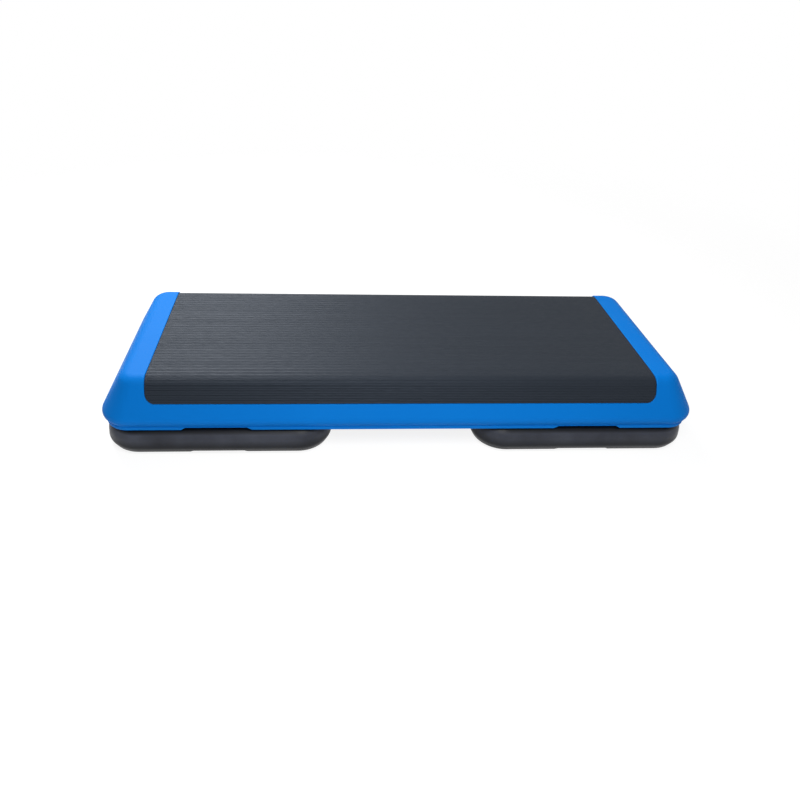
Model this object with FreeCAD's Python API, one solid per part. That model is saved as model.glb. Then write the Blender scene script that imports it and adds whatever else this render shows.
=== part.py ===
import FreeCAD, Part
import math
import os

# Aerobic step: a moulded deck with a rubber tread, standing on two square riser blocks.
# Millimetres. X runs along the deck, Y to its back, Z up; the origin is on the floor under its centre.

# Deck moulding
WAIST_LENGTH = 1095.5       # along X, across the widest line before it is rounded
WAIST_DEPTH = 410.0         # along Y
WAIST_HEIGHT = 21.5         # of the widest line above the deck's bottom edge
WAIST_CORNER = 52.0         # plan radius of the corners there
WAIST_ROUND = 15.0
DECK_HEIGHT = 92.0          # bottom edge to top face
END_SLOPE = 44.5            # how far each end leans in from its waist to the top
FRONT_SLOPE = 37.0          # how far the front and the back lean in
TOP_CORNER = 27.0           # plan radius of the top face's corners
TOP_ROUND = 24.0            # rounding where the sides meet the top
UNDERCUT = 9.0              # how far the side leans in from its waist to the lip
LIP_HEIGHT = 7.0            # upright lip along the bottom edge
LIP_LEDGE = 1.0             # the lip stands this far out from the side above it
LIP_ROUND = 1.5             # bottom edge of the lip
LEDGE_ROUND = 0.6           # top edge of the lip
WALL = 4.0                  # moulded wall, deck and risers alike
NOTCH_WIDTH = 128.0         # notch in the deck's lip over each riser
NOTCH_DEPTH = 6.0

# Rubber tread
MAT_LENGTH = 916.0
MAT_THICKNESS = 3.0
MAT_SET = 0.8               # the tread lies this far below the deck's face
MAT_GAP = 0.7               # groove round the tread's edge
RECESS_ROUND = 1.2          # rounding of the deck's edge beside that groove
GLUE = 0.1                  # bond line under the tread
MAT_LOWER_EDGE = 52.0       # height of the flap's lower edge above the deck's bottom edge
MAT_CORNER = 16.0           # lower corners of the flaps

# Risers
RISER_SIDE = 413.0          # square, across the widest line before it is rounded
RISER_SPACING = 679.0       # centre to centre
RISER_PITCH = 50.0          # what one riser adds to the step's height
RISER_CORNER = 63.0         # plan radius
RISER_WAIST = 15.0          # height of the widest line above the riser's bottom edge
RISER_WAIST_ROUND = 14.0
RISER_LOWER_TAPER = 8.0     # lean of the side below the widest line
RISER_UPPER_TAPER = 5.0     # lean of the side above it
RISER_SHOULDER = 24.0       # rounding of the top edge
RISER_HEEL = 6.0            # rounding of the bottom edge
RISER_NOTCH_WIDTH = 110.0
RISER_NOTCH_DEPTH = 5.5
NOTCH_END_LEAN = 1.6        # run of a notch's slanted end for each millimetre of its depth
NOTCH_REACH = 30.0          # how far a notch runs in from the wall's face, through the ribs' ends
SEAT_GAP = 0.5              # air between the deck's bottom edge and a riser's top
POCKET_CLEARANCE = 1.0      # round a foot in a riser's pocket

# Stiffening ribs under the deck and in the risers
RIB = 2.6
RIB_LIFT = 1.0              # the ribs stop this far above the bottom edge
CELL = 90.0                 # widest space left between two ribs

# Feet with their washers and screws
FOOT_PATTERN = 256.0        # side of the square of four feet
FOOT_DIAMETER = 36.0
FOOT_STAND = 4.0            # the foot stands this far out of the moulding
FOOT_SEAT = 4.0             # and this deep in its socket
FOOT_EDGE = 1.2             # rounding of the foot's sole
FOOT_CLEARANCE = 0.2        # round the foot in its socket
SOCKET_WALL = 4.0
SOCKET_SHOULDER = 3.0       # ring that the foot bears on
BOSS_DIAMETER = 14.0
SCREW_DIAMETER = 5.0
SCREW_LENGTH = 20.0
SCREW_TIP = 3.0
SCREW_CLEARANCE = 0.1       # round the screw in its boss
HEAD_DIAMETER = 9.5
HEAD_HEIGHT = 3.0
HEAD_EDGE = 0.8
HEAD_SUNK = 0.6             # the head stays this far above the foot's sole
DRIVE_LENGTH = 5.0          # cross recess in the head
DRIVE_WIDTH = 1.1
DRIVE_DEPTH = 1.6
WASHER_DIAMETER = 13.0
WASHER_THICKNESS = 1.0
HOLE_CLEARANCE = 0.2        # round the screw in washer and foot, and round the washer in the foot
PILOT_SPARE = 2.0           # pilot hole below the screw's tip

OVERRUN = 5.0               # cutting shapes pass the faces they open by this much
TINY = 1e-4

DECK_BASE = RISER_PITCH + FOOT_STAND
POCKET_DEPTH = FOOT_STAND - SEAT_GAP
RISER_HEIGHT = RISER_PITCH - FOOT_STAND + POCKET_DEPTH
RECESS_DEPTH = MAT_SET + MAT_THICKNESS + GLUE
TREAD_WALL = WALL + RECESS_DEPTH
FOOT_HEIGHT = FOOT_STAND + FOOT_SEAT
WASHER_SEAT = HEAD_SUNK + HEAD_HEIGHT + WASHER_THICKNESS
SCREW_REACH = HEAD_SUNK + HEAD_HEIGHT + SCREW_LENGTH
SOCKET_RADIUS = FOOT_DIAMETER / 2 + FOOT_CLEARANCE
SOCKET_BORE = RISER_PITCH - FOOT_STAND - FOOT_SEAT - WALL

LEAN = math.atan2(FRONT_SLOPE, DECK_HEIGHT - WAIST_HEIGHT)
SIDES = {"left": -1, "right": 1}
PLACES = {"outer": 1, "inner": -1}
FACES = {"front": -1, "back": 1}

V = FreeCAD.Vector


def rounded_outline(length, depth, corner, height):
    """Closed plan outline of four sides and four corner arcs, centred on the Z axis."""
    reach_x = length / 2 - corner
    reach_y = depth / 2 - corner
    centres = [(reach_x, reach_y), (-reach_x, reach_y), (-reach_x, -reach_y), (reach_x, -reach_y)]
    arcs = []
    for quarter, (x, y) in enumerate(centres):
        points = []
        for turn in (0, 45, 90):
            angle = math.radians(90 * quarter + turn)
            points.append(V(x + corner * math.cos(angle), y + corner * math.sin(angle), height))
        arcs.append(Part.Arc(*points).toShape())
    edges = []
    for quarter, arc in enumerate(arcs):
        following = arcs[(quarter + 1) % 4]
        edges.append(arc)
        edges.append(Part.makeLine(arc.Vertexes[-1].Point, following.Vertexes[0].Point))
    return Part.Wire(edges)


def ruled_solid(outlines):
    """Straight-sided solid through plan outlines stacked from the bottom up."""
    return Part.makeLoft(outlines, True, True)


def level_edges(shape, height):
    """Edges of a shape that lie in the plane at a height."""
    return [
        edge
        for edge in shape.Edges
        if abs(edge.BoundBox.Center.z - height) < TINY and edge.BoundBox.ZLength < 2 * TINY
    ]


def round_edges_at(shape, radius, height):
    return shape.makeFillet(radius, level_edges(shape, height))


def upright(radius, bottom, top, x=0.0, y=0.0):
    return Part.makeCylinder(radius, top - bottom, V(x, y, bottom))


def edge_notches(width, depth, face, x=0.0):
    """Shallow notches with slanted ends in the bottom edge of a front and a back wall.

    The edge is at height zero and the walls' outer faces are at y = -face and face.
    """
    lean = NOTCH_END_LEAN * depth
    skirt = NOTCH_END_LEAN * OVERRUN
    outline = [
        (x - width / 2 - skirt, -OVERRUN),
        (x + width / 2 + skirt, -OVERRUN),
        (x + width / 2 - lean, depth),
        (x - width / 2 + lean, depth),
    ]
    notches = []
    for way in FACES.values():
        corners = [V(px, way * (face + OVERRUN), pz) for px, pz in outline]
        profile = Part.Face(Part.makePolygon(corners + corners[:1]))
        notches.append(profile.extrude(V(0, -way * (NOTCH_REACH + OVERRUN), 0)))
    return notches


def divided(start, end):
    """Evenly spaced places from start to end, both kept, no further apart than a cell."""
    count = max(1, math.ceil((end - start) / CELL))
    return [start + (end - start) * step / count for step in range(count + 1)]


def rib_grid(xs, ys, length, depth, top):
    """Upright ribs across and along a moulding, from above its bottom edge to its top wall."""
    height = top - RIB_LIFT
    across = [Part.makeBox(RIB, depth, height, V(x - RIB / 2, -depth / 2, RIB_LIFT)) for x in xs]
    along = [Part.makeBox(length, RIB, height, V(-length / 2, y - RIB / 2, RIB_LIFT)) for y in ys]
    return across + along


def foot_socket():
    """What is taken out of a moulding at one foot: seat, hollow round the boss and pilot hole."""
    seat = upright(SOCKET_RADIUS, -OVERRUN, FOOT_SEAT)
    bore_top = FOOT_SEAT + SOCKET_BORE
    bore = upright(SOCKET_RADIUS - SOCKET_SHOULDER, FOOT_SEAT - TINY, bore_top)
    hollow = bore.cut(upright(BOSS_DIAMETER / 2, FOOT_SEAT - TINY, bore_top))
    pilot_top = SCREW_REACH - FOOT_STAND + PILOT_SPARE
    pilot = upright(SCREW_DIAMETER / 2 + SCREW_CLEARANCE, 0, pilot_top)
    return seat.fuse([hollow, pilot])


def moved(shape, x, y, z):
    copy = shape.copy()
    copy.translate(V(x, y, z))
    return copy


def at_each(shape, spots, z):
    return [moved(shape, x, y, z) for x, y in spots]


# The square of four feet under one riser, and the two squares under the deck

def foot_spots(side):
    """Places of the four feet of one end, named from the middle of the step outwards."""
    spots = {}
    for place, outward in PLACES.items():
        for face, way in FACES.items():
            x = SIDES[side] * (RISER_SPACING / 2 + outward * FOOT_PATTERN / 2)
            spots[f"{place}_{face}"] = (x, way * FOOT_PATTERN / 2)
    return spots


def every_spot():
    return [spot for side in SIDES for spot in foot_spots(side).values()]


# Section of the tread across the deck: up the front, over the top and down the back

def side_reach(height, inset):
    """Distance of the deck's sloped front from the middle, for a surface set in from its face."""
    return WAIST_DEPTH / 2 - (height - WAIST_HEIGHT) * math.tan(LEAN) - inset / math.cos(LEAN)


def tread_block(inset, length, low):
    """Everything under a surface set in from the deck's top and sloped sides, above a height."""
    top = DECK_HEIGHT - inset
    radius = TOP_ROUND - inset
    run = radius * math.tan((math.pi / 2 - LEAN) / 2)
    brow = side_reach(top, inset)
    middle = (math.pi / 2 + LEAN) / 2
    side_end = V(0, brow + run * math.sin(LEAN), top - run * math.cos(LEAN))
    arc_middle = V(0, brow - run + radius * math.cos(middle), top - radius + radius * math.sin(middle))
    top_end = V(0, brow - run, top)
    foot = V(0, side_reach(low, inset), low)

    def across(point):
        return V(point.x, -point.y, point.z)

    edges = [
        Part.makeLine(foot, side_end),
        Part.Arc(side_end, arc_middle, top_end).toShape(),
        Part.makeLine(top_end, across(top_end)),
        Part.Arc(across(top_end), across(arc_middle), across(side_end)).toShape(),
        Part.makeLine(across(side_end), across(foot)),
        Part.makeLine(across(foot), foot),
    ]
    block = Part.Face(Part.Wire(edges)).extrude(V(length, 0, 0))
    block.translate(V(-length / 2, 0, 0))
    return block


def tread_outline(grow):
    """Front view of the tread with its two rounded lower corners, as a block along Y."""
    low = MAT_LOWER_EDGE - grow
    radius = MAT_CORNER + grow
    half = MAT_LENGTH / 2 + grow
    top = DECK_HEIGHT + OVERRUN
    turn = radius * math.sqrt(0.5)
    right = [
        V(half, 0, low + radius),
        V(half - radius + turn, 0, low + radius - turn),
        V(half - radius, 0, low),
    ]
    left = [V(-point.x, 0, point.z) for point in reversed(right)]
    edges = [
        Part.makeLine(V(half, 0, top), right[0]),
        Part.Arc(*right).toShape(),
        Part.makeLine(right[2], left[0]),
        Part.Arc(*left).toShape(),
        Part.makeLine(left[2], V(-half, 0, top)),
        Part.makeLine(V(-half, 0, top), V(half, 0, top)),
    ]
    block = Part.Face(Part.Wire(edges)).extrude(V(0, WAIST_DEPTH, 0))
    block.translate(V(0, -WAIST_DEPTH / 2, 0))
    return block


def tread_band(outer_inset, inner_inset, grow):
    """Layer between two surfaces set in from the deck's face, trimmed to the tread's outline."""
    length = MAT_LENGTH + 4 * grow + OVERRUN
    low = WAIST_HEIGHT
    band = tread_block(outer_inset, length, low).cut(tread_block(inner_inset, length + OVERRUN, low - TINY))
    return band.common(tread_outline(grow))


# Deck

def deck_outline(height, inset_x, inset_y):
    """Outline of the deck at a height, set in from its side along X and along Y."""
    if height < WAIST_HEIGHT:
        share = min(1, (WAIST_HEIGHT - height) / (WAIST_HEIGHT - LIP_HEIGHT))
        end = UNDERCUT * share
        front = UNDERCUT * share
        corner = WAIST_CORNER - UNDERCUT * share
    else:
        share = (height - WAIST_HEIGHT) / (DECK_HEIGHT - WAIST_HEIGHT)
        end = END_SLOPE * share
        front = FRONT_SLOPE * share
        corner = WAIST_CORNER + (TOP_CORNER - WAIST_CORNER) * share
    length = WAIST_LENGTH - 2 * (end + inset_x)
    depth = WAIST_DEPTH - 2 * (front + inset_y)
    return rounded_outline(length, depth, corner - inset_x, height)


def deck_body():
    """Outer form of the deck, solid: a lip, and sides that lean in above and below their waist."""
    lip = Part.Face(deck_outline(0, -LIP_LEDGE, -LIP_LEDGE)).extrude(V(0, 0, LIP_HEIGHT))
    lip = round_edges_at(lip, LIP_ROUND, 0)
    lip = round_edges_at(lip, LEDGE_ROUND, LIP_HEIGHT)
    body = ruled_solid([deck_outline(height, 0, 0) for height in (LIP_HEIGHT, WAIST_HEIGHT, DECK_HEIGHT)])
    body = round_edges_at(body, TOP_ROUND, DECK_HEIGHT)
    body = round_edges_at(body, WAIST_ROUND, WAIST_HEIGHT)
    return lip.fuse(body)


def deck_cells(spots):
    """Hollows under the deck, between its walls, ribs and foot sockets."""
    ceiling = DECK_HEIGHT - TREAD_WALL
    hollow = ruled_solid([
        deck_outline(-OVERRUN, WALL, WALL),
        deck_outline(LIP_HEIGHT, WALL, WALL),
        deck_outline(WAIST_HEIGHT, WALL, TREAD_WALL),
        deck_outline(ceiling, WALL, TREAD_WALL),
    ])
    hollow = round_edges_at(hollow, TOP_ROUND - TREAD_WALL, ceiling)
    inner = RISER_SPACING / 2 - FOOT_PATTERN / 2
    outer = RISER_SPACING / 2 + FOOT_PATTERN / 2
    end_ribs = divided(inner, outer)
    xs = [-x for x in end_ribs] + divided(-inner, inner)[1:-1] + end_ribs
    ys = divided(-FOOT_PATTERN / 2, FOOT_PATTERN / 2)
    ribs = rib_grid(xs, ys, WAIST_LENGTH, WAIST_DEPTH, DECK_HEIGHT)
    posts = [upright(SOCKET_RADIUS + SOCKET_WALL, 0, DECK_HEIGHT, x, y) for x, y in spots]
    return hollow.cut(ribs + posts)


def lies_on(edge, shape):
    middle = edge.valueAt((edge.FirstParameter + edge.LastParameter) / 2)
    return shape.distToShape(Part.Vertex(middle))[0] < TINY


def recessed_deck_body():
    """The deck's outer form with the tread's recess, whose upper edge is rounded all the way."""
    body = deck_body()
    face = body.Shells[0]
    outline = tread_outline(MAT_GAP).Shells[0]
    recessed = body.cut(tread_band(-OVERRUN, RECESS_DEPTH, MAT_GAP))
    rim = [edge for edge in recessed.Edges if lies_on(edge, face) and lies_on(edge, outline)]
    return recessed.makeFillet(RECESS_ROUND, rim)


def deck_shell():
    spots = every_spot()
    cuts = [deck_cells(spots)] + at_each(foot_socket(), spots, 0)
    face = WAIST_DEPTH / 2 - UNDERCUT + LIP_LEDGE
    for way in SIDES.values():
        cuts += edge_notches(NOTCH_WIDTH, NOTCH_DEPTH, face, way * RISER_SPACING / 2)
    return moved(recessed_deck_body().cut(cuts).removeSplitter(), 0, 0, DECK_BASE)


def tread_mat():
    return moved(tread_band(MAT_SET, MAT_SET + MAT_THICKNESS, 0), 0, 0, DECK_BASE)


# Risers

def riser_outline(height, inset):
    """Outline of a riser at a height: widest at its waist, leaning in above and below."""
    if height < RISER_WAIST:
        lean = RISER_LOWER_TAPER * min(1, (RISER_WAIST - height) / RISER_WAIST)
    else:
        lean = RISER_UPPER_TAPER * (height - RISER_WAIST) / (RISER_HEIGHT - RISER_WAIST)
    side = RISER_SIDE - 2 * (lean + inset)
    return rounded_outline(side, side, RISER_CORNER - lean - inset, height)


def riser_cells(spots):
    """Hollows in a riser, between its walls, ribs and foot sockets."""
    ceiling = RISER_HEIGHT - WALL
    hollow = ruled_solid([riser_outline(height, WALL) for height in (-OVERRUN, 0, RISER_WAIST, ceiling)])
    hollow = round_edges_at(hollow, RISER_SHOULDER - WALL, ceiling)
    places = divided(-FOOT_PATTERN / 2, FOOT_PATTERN / 2)
    ribs = rib_grid(places, places, RISER_SIDE, RISER_SIDE, RISER_HEIGHT)
    posts = [upright(SOCKET_RADIUS + SOCKET_WALL, 0, RISER_HEIGHT, x, y) for x, y in spots]
    return hollow.cut(ribs + posts)


def riser():
    """One riser about its own centre, its bottom edge at height zero."""
    half = FOOT_PATTERN / 2
    spots = [(x, y) for x in (-half, half) for y in (-half, half)]
    body = ruled_solid([riser_outline(height, 0) for height in (0, RISER_WAIST, RISER_HEIGHT)])
    body = round_edges_at(body, RISER_SHOULDER, RISER_HEIGHT)
    body = round_edges_at(body, RISER_WAIST_ROUND, RISER_WAIST)
    body = round_edges_at(body, RISER_HEEL, 0)
    pocket_radius = FOOT_DIAMETER / 2 + POCKET_CLEARANCE
    pocket_floor = RISER_HEIGHT - POCKET_DEPTH
    face = RISER_SIDE / 2
    cuts = [riser_cells(spots)]
    cuts += edge_notches(RISER_NOTCH_WIDTH, RISER_NOTCH_DEPTH, face)
    cuts += at_each(foot_socket(), spots, 0)
    cuts += [upright(pocket_radius, pocket_floor, RISER_HEIGHT + OVERRUN, x, y) for x, y in spots]
    return body.cut(cuts).removeSplitter()


# Foot, washer and screw, each standing on the foot's sole at height zero

def foot():
    puck = round_edges_at(upright(FOOT_DIAMETER / 2, 0, FOOT_HEIGHT), FOOT_EDGE, 0)
    hole = upright(SCREW_DIAMETER / 2 + HOLE_CLEARANCE, 0, FOOT_HEIGHT + OVERRUN)
    counterbore = upright(WASHER_DIAMETER / 2 + HOLE_CLEARANCE, -OVERRUN, WASHER_SEAT)
    return puck.cut([hole, counterbore])


def washer():
    low = WASHER_SEAT - WASHER_THICKNESS
    disc = upright(WASHER_DIAMETER / 2, low, WASHER_SEAT)
    return disc.cut(upright(SCREW_DIAMETER / 2 + HOLE_CLEARANCE, low - OVERRUN, WASHER_SEAT + OVERRUN))


def screw():
    head_top = HEAD_SUNK + HEAD_HEIGHT
    head = round_edges_at(upright(HEAD_DIAMETER / 2, HEAD_SUNK, head_top), HEAD_EDGE, HEAD_SUNK)
    bars = []
    for length, width in ((DRIVE_LENGTH, DRIVE_WIDTH), (DRIVE_WIDTH, DRIVE_LENGTH)):
        corner = V(-length / 2, -width / 2, HEAD_SUNK - OVERRUN)
        bars.append(Part.makeBox(length, width, OVERRUN + DRIVE_DEPTH, corner))
    shank = upright(SCREW_DIAMETER / 2, head_top, SCREW_REACH - SCREW_TIP)
    tip = Part.makeCone(SCREW_DIAMETER / 2, SCREW_DIAMETER / 4, SCREW_TIP, V(0, 0, SCREW_REACH - SCREW_TIP))
    return head.cut(bars).fuse([shank, tip]).removeSplitter()


# The whole step

def build_nodes():
    nodes = {"deck_shell": deck_shell(), "tread_mat": tread_mat()}
    one_foot = foot()
    one_washer = washer()
    one_screw = screw()
    for side in SIDES:
        for name, (x, y) in foot_spots(side).items():
            nodes[f"deck_foot_{side}_{name}"] = moved(one_foot, x, y, DECK_BASE - FOOT_STAND)
    nodes["deck_foot_washers"] = Part.makeCompound(at_each(one_washer, every_spot(), DECK_BASE - FOOT_STAND))
    nodes["deck_foot_screws"] = Part.makeCompound(at_each(one_screw, every_spot(), DECK_BASE - FOOT_STAND))
    one_riser = riser()
    for side, way in SIDES.items():
        spots = foot_spots(side)
        nodes[f"{side}_riser"] = moved(one_riser, way * RISER_SPACING / 2, 0, FOOT_STAND)
        for name, (x, y) in spots.items():
            nodes[f"{side}_riser_foot_{name}"] = moved(one_foot, x, y, 0)
        nodes[f"{side}_riser_foot_washers"] = Part.makeCompound(at_each(one_washer, spots.values(), 0))
        nodes[f"{side}_riser_foot_screws"] = Part.makeCompound(at_each(one_screw, spots.values(), 0))
    return nodes


os.makedirs("parts", exist_ok=True)
for node, shape in build_nodes().items():
    shape.exportStep(f"parts/{node}.step")
    box = shape.optimalBoundingBox(True, False)
    litres = shape.Volume / 1e6
    print(f"{node}: {len(shape.Solids)} solids, valid {shape.isValid()}, {litres:.4f} l,", end=" ")
    print(f"x {box.XMin:.1f}..{box.XMax:.1f}, y {box.YMin:.1f}..{box.YMax:.1f},", end=" ")
    print(f"z {box.ZMin:.1f}..{box.ZMax:.1f}")
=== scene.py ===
import math
import random

import bmesh
import bpy
from mathutils import Matrix, Vector


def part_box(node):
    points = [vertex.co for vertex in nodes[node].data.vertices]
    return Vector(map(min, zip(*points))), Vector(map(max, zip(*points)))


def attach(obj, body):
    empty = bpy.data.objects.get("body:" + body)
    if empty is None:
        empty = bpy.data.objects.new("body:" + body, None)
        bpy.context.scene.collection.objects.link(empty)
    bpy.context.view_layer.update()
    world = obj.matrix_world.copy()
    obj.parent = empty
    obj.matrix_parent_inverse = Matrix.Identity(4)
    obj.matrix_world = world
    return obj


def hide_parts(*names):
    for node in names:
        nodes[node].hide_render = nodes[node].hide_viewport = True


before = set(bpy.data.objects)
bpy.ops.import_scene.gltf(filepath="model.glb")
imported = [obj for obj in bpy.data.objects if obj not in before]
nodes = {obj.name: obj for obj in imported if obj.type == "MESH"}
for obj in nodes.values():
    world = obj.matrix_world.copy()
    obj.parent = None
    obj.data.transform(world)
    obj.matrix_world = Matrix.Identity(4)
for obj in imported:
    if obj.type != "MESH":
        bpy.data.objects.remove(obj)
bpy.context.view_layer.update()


# Deck: one hollow moulding of blue polypropylene, with sloped sides, a shallow recess for the
# tread and a grid of ribs underneath. It leaves the mould satin, with a fine even grain.
DECK_BLUE = (0.001, 0.185, 0.660, 1)
DECK_BLUE_WORN = (0.002, 0.200, 0.690, 1)
DECK_ROUGHNESS = (0.48, 0.58)
DECK_SPECULAR = 0.06
WHITE = (1, 1, 1, 1)
NOISE_SPAN = (0.3, 0.7)         # where most of a noise's values lie
GRAIN_STRENGTH = 0.5


def link(tree, source, output, target, socket):
    tree.links.new(source.outputs[output], target.inputs[socket])


def object_noise(tree, scale, detail, stretch=(1, 1, 1)):
    """Noise over a piece, in waves to the metre, drawn out along an axis by a stretch below one."""
    place = tree.nodes.new("ShaderNodeTexCoord")
    mapping = tree.nodes.new("ShaderNodeMapping")
    mapping.inputs["Scale"].default_value = stretch
    noise = tree.nodes.new("ShaderNodeTexNoise")
    noise.inputs["Scale"].default_value = scale
    noise.inputs["Detail"].default_value = detail
    link(tree, place, "Object", mapping, "Vector")
    link(tree, mapping, "Vector", noise, "Vector")
    return noise


def tone_between(tree, noise, first, second):
    """Colour that wanders between two tones with a noise."""
    mix = tree.nodes.new("ShaderNodeMix")
    mix.data_type = "RGBA"
    mix.inputs["A"].default_value = first
    mix.inputs["B"].default_value = second
    link(tree, noise, "Fac", mix, "Factor")
    return mix


def range_of(tree, noise, low, high):
    """Value that wanders between two limits with a noise."""
    span = tree.nodes.new("ShaderNodeMapRange")
    span.inputs["From Min"].default_value = NOISE_SPAN[0]
    span.inputs["From Max"].default_value = NOISE_SPAN[1]
    span.inputs["To Min"].default_value = low
    span.inputs["To Max"].default_value = high
    link(tree, noise, "Fac", span, "Value")
    return span


def finish_material(
    name, tones, tone_noise, roughness, specular, grain, grain_depth, gloss_tint=WHITE, metallic=0.0
):
    """Material of two wandering tones with a grained surface; noises are (scale, detail, stretch)."""
    material = bpy.data.materials.new(name)
    material.use_nodes = True
    tree = material.node_tree
    shader = tree.nodes["Principled BSDF"]
    shader.inputs["Metallic"].default_value = metallic
    shader.inputs["Specular IOR Level"].default_value = specular
    shader.inputs["Specular Tint"].default_value = gloss_tint
    wander = object_noise(tree, *tone_noise)
    tone = tone_between(tree, wander, *tones)
    link(tree, tone, "Result", shader, "Base Color")
    grained = object_noise(tree, *grain)
    polish = range_of(tree, grained, *roughness)
    link(tree, polish, "Result", shader, "Roughness")
    bump = tree.nodes.new("ShaderNodeBump")
    bump.inputs["Strength"].default_value = GRAIN_STRENGTH
    bump.inputs["Distance"].default_value = grain_depth
    link(tree, grained, "Fac", bump, "Height")
    link(tree, bump, "Normal", shader, "Normal")
    return material


def dress(node, material):
    nodes[node].material_slots[0].material = material


deck_plastic = finish_material(
    "deck_blue_plastic",
    tones=(DECK_BLUE, DECK_BLUE_WORN),
    tone_noise=(9, 3),
    roughness=DECK_ROUGHNESS,
    specular=DECK_SPECULAR,
    grain=(700, 2),
    grain_depth=0.00006,
)
dress("deck_shell", deck_plastic)


# Tread: a sheet of charcoal rubber with fine half-round ribs along it, worn uneven towards the left end.
# It is cut flat with rounded corners, bent over the deck's front and back edges and glued in the recess.
MM = 0.001
RIB_PITCH = 3 * MM
RIB_FACETS = 8
RIB_EDGE = 1e-6                 # a point this near a groove's bottom belongs to the rib before it
GROOVE_DEPTH = 0.62 * MM
GROOVE_SWELL = 0.24 * MM        # one groove in three is shallower
SWELL_RIBS = 3
GROOVE_UNEVEN = 0.12 * MM
UNEVEN_SEED = 3
RIB_WEAR = (0.95, 1.5, 0.08, 0.05, 0.05)   # how much of that shows, from the left end to the right
SHEET_THICKNESS = 3 * MM
TREAD_BEND = 23.2 * MM          # radius over the deck's edge
BROW_THINNING = 1.2 * MM        # the sheet is drawn thin there, so that the bend sets in softly
BROW_REACH = 32 * MM
TREAD_CORNER = 16 * MM
FRONT_RUN = 37 * MM             # run and rise of the deck's front slope
FRONT_RISE = 70.5 * MM
SIDE_LEAN = math.atan2(FRONT_RUN, FRONT_RISE)
SHARP_EDGE = math.radians(60)   # steeper edges of the sheet aren't shaded smooth
TREAD_CHARCOAL = (0.004, 0.006, 0.009, 1)
TREAD_DUSTY = (0.010, 0.013, 0.018, 1)
TREAD_GLOSS_TINT = (0.67, 0.79, 1, 1)
TREAD_ROUGHNESS = (0.48, 0.60)
TREAD_SPECULAR = 0.34

tread_low, tread_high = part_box("tread_mat")
half_length = tread_high.x
brow = tread_high.y - (tread_high.z - tread_low.z) * math.tan(SIDE_LEAN)
bend_angle = math.pi / 2 - SIDE_LEAN
bend_run = TREAD_BEND * math.tan(bend_angle / 2)
half_flat = brow - bend_run
bend_length = TREAD_BEND * bend_angle
flap_length = (tread_high.z - tread_low.z) / math.cos(SIDE_LEAN) - bend_run
half_width = half_flat + bend_length + flap_length
rib_count = round(2 * half_width / RIB_PITCH)


def bent_over_deck(x, along, depth):
    """Place on the deck of a point of the flat sheet, so far from its middle and below its crests."""
    side = math.copysign(1, along)
    run = abs(along)
    turn = max(0, min(bend_angle, (run - half_flat) / TREAD_BEND))
    flap = max(0, run - half_flat - bend_length)
    y = min(run, half_flat) + (TREAD_BEND - depth) * math.sin(turn) + flap * math.cos(turn)
    z = tread_high.z - TREAD_BEND + (TREAD_BEND - depth) * math.cos(turn) - flap * math.sin(turn)
    return Vector((x, side * y, z))


def corner_cut(along):
    """How far a rib stops short of the sheet's end, at its rounded corners."""
    reach = TREAD_CORNER / math.cos(SIDE_LEAN)
    share = max(0, (abs(along) - half_width + reach) / reach)
    return TREAD_CORNER * (1 - math.sqrt(max(0, 1 - share * share)))


def brow_thinning(along):
    """How much thinner the sheet is where it is drawn over the deck's edge."""
    share = (abs(along) - half_flat - bend_length / 2) / BROW_REACH
    return BROW_THINNING * (1 + math.cos(math.pi * max(-1, min(1, share)))) / 2


sheet = bmesh.new()
bmesh.ops.create_grid(sheet, x_segments=len(RIB_WEAR) - 1, y_segments=rib_count * RIB_FACETS, size=0.5)
bmesh.ops.scale(sheet, vec=(2 * half_length, rib_count, 1), verts=sheet.verts)
under = bmesh.ops.extrude_face_region(sheet, geom=list(sheet.faces), use_keep_orig=True)
under_verts = {item for item in under["geom"] if isinstance(item, bmesh.types.BMVert)}
pitch = 2 * half_width / rib_count
uneven = random.Random(UNEVEN_SEED)
groove_swells = []
for rib in range(rib_count):
    swell = GROOVE_SWELL * math.cos(2 * math.pi * rib / SWELL_RIBS)
    groove_swells.append(uneven.uniform(-GROOVE_UNEVEN, GROOVE_UNEVEN) - swell)
for vert in sheet.verts:
    rib = max(0, math.floor(vert.co.y + rib_count / 2 - RIB_EDGE))
    phase = math.pi * (vert.co.y + rib_count / 2 - rib - 0.5)
    along = pitch * (rib + 0.5 - rib_count / 2 + math.sin(phase) / 2)
    wear = RIB_WEAR[round((vert.co.x / half_length + 1) / 2 * (len(RIB_WEAR) - 1))]
    groove = (GROOVE_DEPTH + wear * groove_swells[rib]) * (1 - math.cos(phase))
    depth = brow_thinning(along) + groove
    if vert in under_verts:
        depth = SHEET_THICKNESS
        along *= 1 - SHEET_THICKNESS * math.tan(SIDE_LEAN) / half_width
    x = vert.co.x * (1 - corner_cut(along) / half_length)
    vert.co = bent_over_deck(x, along, depth)
bmesh.ops.recalc_face_normals(sheet, faces=sheet.faces)
for face in sheet.faces:
    face.smooth = True
tread_mesh = bpy.data.meshes.new("tread")
sheet.to_mesh(tread_mesh)
sheet.free()
tread_mesh.set_sharp_from_angle(angle=SHARP_EDGE)
tread = bpy.data.objects.new("tread", tread_mesh)
bpy.context.scene.collection.objects.link(tread)
tread_rubber = finish_material(
    "tread_charcoal_rubber",
    tones=(TREAD_CHARCOAL, TREAD_DUSTY),
    tone_noise=(140, 4, (0.012, 1, 1)),
    roughness=TREAD_ROUGHNESS,
    specular=TREAD_SPECULAR,
    grain=(420, 3, (0.15, 1, 1)),
    grain_depth=0.00008,
    gloss_tint=TREAD_GLOSS_TINT,
)
tread_mesh.materials.append(tread_rubber)
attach(tread, "deck")
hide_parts("tread_mat")


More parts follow.
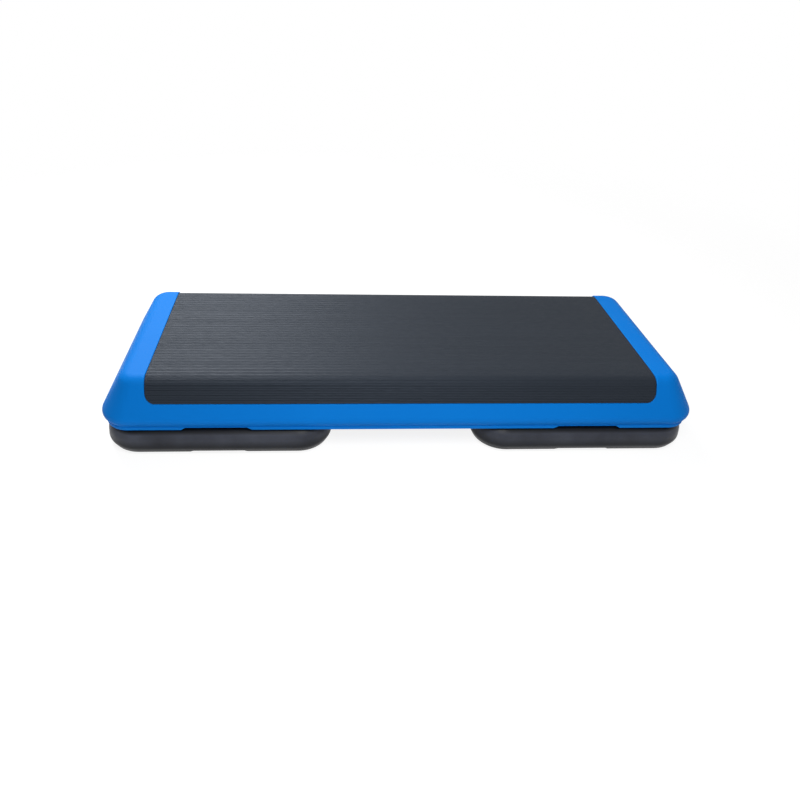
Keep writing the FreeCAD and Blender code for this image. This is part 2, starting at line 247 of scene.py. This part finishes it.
# Feet: black rubber pucks under the deck and under each riser, each let into a socket and held by
# a screw through its middle.
FOOT_BLACK = (0.014, 0.014, 0.016, 1)
FOOT_SCUFFED = (0.030, 0.030, 0.032, 1)
foot_rubber = finish_material(
    "foot_black_rubber",
    tones=(FOOT_BLACK, FOOT_SCUFFED),
    tone_noise=(160, 4),
    roughness=(0.6, 0.8),
    specular=0.3,
    grain=(1500, 2),
    grain_depth=0.00005,
)
for node in nodes:
    if "_foot_" in node and node.endswith(("_front", "_back")):
        dress(node, foot_rubber)


# Washers and screws: bright zinc-plated steel, a flat washer under the round head of a self-tapping
# screw with a cross recess, one of each in every foot.
ZINC = (0.58, 0.59, 0.61, 1)
ZINC_BLUISH = (0.66, 0.68, 0.71, 1)
zinc_steel = finish_material(
    "screw_zinc_steel",
    tones=(ZINC, ZINC_BLUISH),
    tone_noise=(500, 2),
    roughness=(0.24, 0.38),
    specular=0.5,
    grain=(2500, 2),
    grain_depth=0.00001,
    metallic=1.0,
)
for node in nodes:
    if node.endswith(("_washers", "_screws")):
        dress(node, zinc_steel)


# Risers: two square blocks of charcoal plastic, hollow and ribbed below, with four pockets on top that
# take the deck's feet. Their colour is banded by height: a painted highlight on the wide rounded
# shoulder, and painted shade, near black, on the top under the deck's lip.
RISER_DARK = (0.012, 0.013, 0.016, 1)
RISER_SIDE = (0.034, 0.036, 0.041, 1)
# painted highlight: this paler tone on the rounded shoulder stands in for light falling on it
RISER_PAINTED_HIGHLIGHT = (0.085, 0.092, 0.118, 1)
# painted shade: this near-black tone on the top stands in for the shade under the deck's lip
RISER_PAINTED_SHADE = (0.002, 0.003, 0.006, 1)
# tones by height: plain side below, painted highlight on the shoulder, painted shade at the top
RISER_PAINTED_LIGHT_BANDS = ((0.022, RISER_SIDE), (0.034, RISER_PAINTED_HIGHLIGHT), (0.044, RISER_PAINTED_HIGHLIGHT), (0.048, RISER_PAINTED_SHADE))
RISER_REACH = 0.06              # height at which the bands' scale ends, above the riser's top
riser_plastic = finish_material(
    "riser_charcoal_plastic",
    tones=(RISER_SIDE, RISER_DARK),
    tone_noise=(14, 4),
    roughness=(0.34, 0.44),
    specular=0.14,
    grain=(800, 2),
    grain_depth=0.00008,
)
riser_tree = riser_plastic.node_tree
riser_tone = riser_tree.nodes["Principled BSDF"].inputs["Base Color"].links[0].from_node
riser_place = riser_tree.nodes.new("ShaderNodeTexCoord")
riser_axes = riser_tree.nodes.new("ShaderNodeSeparateXYZ")
riser_height = riser_tree.nodes.new("ShaderNodeMapRange")
riser_height.inputs["From Max"].default_value = RISER_REACH
# colour ramp by height that paints the shoulder's highlight and the top's shade
painted_light_bands = riser_tree.nodes.new("ShaderNodeValToRGB")
while len(painted_light_bands.color_ramp.elements) < len(RISER_PAINTED_LIGHT_BANDS):
    painted_light_bands.color_ramp.elements.new(0.5)
for stop, (height, tone) in zip(painted_light_bands.color_ramp.elements, RISER_PAINTED_LIGHT_BANDS):
    stop.position = height / RISER_REACH
    stop.color = tone
link(riser_tree, riser_place, "Object", riser_axes, "Vector")
link(riser_tree, riser_axes, "Z", riser_height, "Value")
link(riser_tree, riser_height, "Result", painted_light_bands, "Fac")
link(riser_tree, painted_light_bands, "Color", riser_tone, "A")
for node in ("left_riser", "right_riser"):
    dress(node, riser_plastic)


# Floor: a plain white disc that fades into the white backdrop, keeping the soft shadow of the step.
FLOOR_RADIUS = 2.0
FLOOR_SEGMENTS = 96
FADE_START = 0.8
FLOOR_WHITE = (0.85, 0.85, 0.85, 1)
SEEN_GLOW = 0.86
SEEN_SHARE = 0.24

disc = bmesh.new()
bmesh.ops.create_circle(disc, cap_ends=True, segments=FLOOR_SEGMENTS, radius=FLOOR_RADIUS)
floor_mesh = bpy.data.meshes.new("floor")
disc.to_mesh(floor_mesh)
disc.free()
floor = bpy.data.objects.new("floor", floor_mesh)
bpy.context.scene.collection.objects.link(floor)
floor_material = bpy.data.materials.new("floor_white")
floor_material.use_nodes = True
floor_tree = floor_material.node_tree
floor_tree.nodes.clear()
floor_output = floor_tree.nodes.new("ShaderNodeOutputMaterial")
bounced = floor_tree.nodes.new("ShaderNodeBsdfDiffuse")
bounced.inputs["Color"].default_value = FLOOR_WHITE
seen_diffuse = floor_tree.nodes.new("ShaderNodeBsdfDiffuse")
seen_diffuse.inputs["Color"].default_value = (SEEN_SHARE, SEEN_SHARE, SEEN_SHARE, 1)
seen_glow = floor_tree.nodes.new("ShaderNodeEmission")
seen_glow.inputs["Strength"].default_value = SEEN_GLOW
seen = floor_tree.nodes.new("ShaderNodeAddShader")
floor_tree.links.new(seen_diffuse.outputs[0], seen.inputs[0])
floor_tree.links.new(seen_glow.outputs[0], seen.inputs[1])


def seen_directly(tree):
    """One for a ray from the camera, off a shiny surface or through a clear one, else nought."""
    path = tree.nodes.new("ShaderNodeLightPath")
    first = tree.nodes.new("ShaderNodeMath")
    first.operation = "MAXIMUM"
    link(tree, path, "Is Camera Ray", first, 0)
    link(tree, path, "Is Glossy Ray", first, 1)
    either = tree.nodes.new("ShaderNodeMath")
    either.operation = "MAXIMUM"
    link(tree, first, 0, either, 0)
    link(tree, path, "Is Transmission Ray", either, 1)
    return either


by_ray = floor_tree.nodes.new("ShaderNodeMixShader")
link(floor_tree, seen_directly(floor_tree), 0, by_ray, 0)
floor_tree.links.new(bounced.outputs[0], by_ray.inputs[1])
floor_tree.links.new(seen.outputs[0], by_ray.inputs[2])
place = floor_tree.nodes.new("ShaderNodeTexCoord")
distance = floor_tree.nodes.new("ShaderNodeVectorMath")
distance.operation = "LENGTH"
link(floor_tree, place, "Object", distance, 0)
fade = floor_tree.nodes.new("ShaderNodeMapRange")
fade.interpolation_type = "SMOOTHSTEP"
fade.inputs["From Min"].default_value = FADE_START
fade.inputs["From Max"].default_value = FLOOR_RADIUS
link(floor_tree, distance, "Value", fade, "Value")
clear = floor_tree.nodes.new("ShaderNodeBsdfTransparent")
faded = floor_tree.nodes.new("ShaderNodeMixShader")
link(floor_tree, fade, "Result", faded, 0)
floor_tree.links.new(by_ray.outputs[0], faded.inputs[1])
floor_tree.links.new(clear.outputs[0], faded.inputs[2])
link(floor_tree, faded, 0, floor_output, "Surface")
floor_mesh.materials.append(floor_material)


# Studio: an even white surround, seen as plain white, with a broad lamp above and behind the left end
# and a smaller one above the front.
SURROUND_LIGHT = 0.17
world = bpy.data.worlds.new("white_surround")
bpy.context.scene.world = world
world.use_nodes = True
world_tree = world.node_tree
background = world_tree.nodes["Background"]
background.inputs["Color"].default_value = WHITE
surround = world_tree.nodes.new("ShaderNodeMapRange")
surround.inputs["To Min"].default_value = SURROUND_LIGHT
surround.inputs["To Max"].default_value = 1
link(world_tree, seen_directly(world_tree), 0, surround, "Value")
link(world_tree, surround, "Result", background, "Strength")


def softbox(name, place, aim, width, power):
    lamp = bpy.data.lights.new(name, "AREA")
    lamp.shape = "SQUARE"
    lamp.size = width
    lamp.energy = power
    box = bpy.data.objects.new(name, lamp)
    box.location = place
    box.rotation_euler = (Vector(aim) - Vector(place)).to_track_quat("-Z", "Y").to_euler()
    bpy.context.scene.collection.objects.link(box)


softbox("overhead_left", (-0.68, 1.0, 1.3), (-0.2, 0, 0.1), 1.0, 29)
softbox("front", (0.03, -0.9, 1.2), (0.03, -0.1, 0.1), 0.6, 12.2)


# Camera: at the photograph's height and angle, a little left of the step's middle, with its lens axis a
# little left of the picture's middle.
IMAGE_WIDTH = 800
FOCAL_PIXELS = 612.5
AXIS_PIXEL = 363                # where the lens axis meets the picture, from its left edge
CAMERA_PLACE = Vector((-0.1474, -1.0536, 0.7614))
CAMERA_PITCH = math.radians(36.70)
CAMERA_YAW = math.radians(4.53)
CAMERA_ROLL = math.radians(2.59)

camera_data = bpy.data.cameras.new("camera")
camera_data.lens = FOCAL_PIXELS / IMAGE_WIDTH * camera_data.sensor_width
camera_data.shift_x = 0.5 - AXIS_PIXEL / IMAGE_WIDTH
camera = bpy.data.objects.new("camera", camera_data)
turned = Matrix.Rotation(-CAMERA_YAW, 4, "Z") @ Matrix.Rotation(math.pi / 2 - CAMERA_PITCH, 4, "X")
camera.matrix_world = Matrix.Translation(CAMERA_PLACE) @ turned @ Matrix.Rotation(CAMERA_ROLL, 4, "Z")
bpy.context.scene.collection.objects.link(camera)
bpy.context.scene.camera = camera
bpy.context.scene.view_settings.view_transform = "Standard"
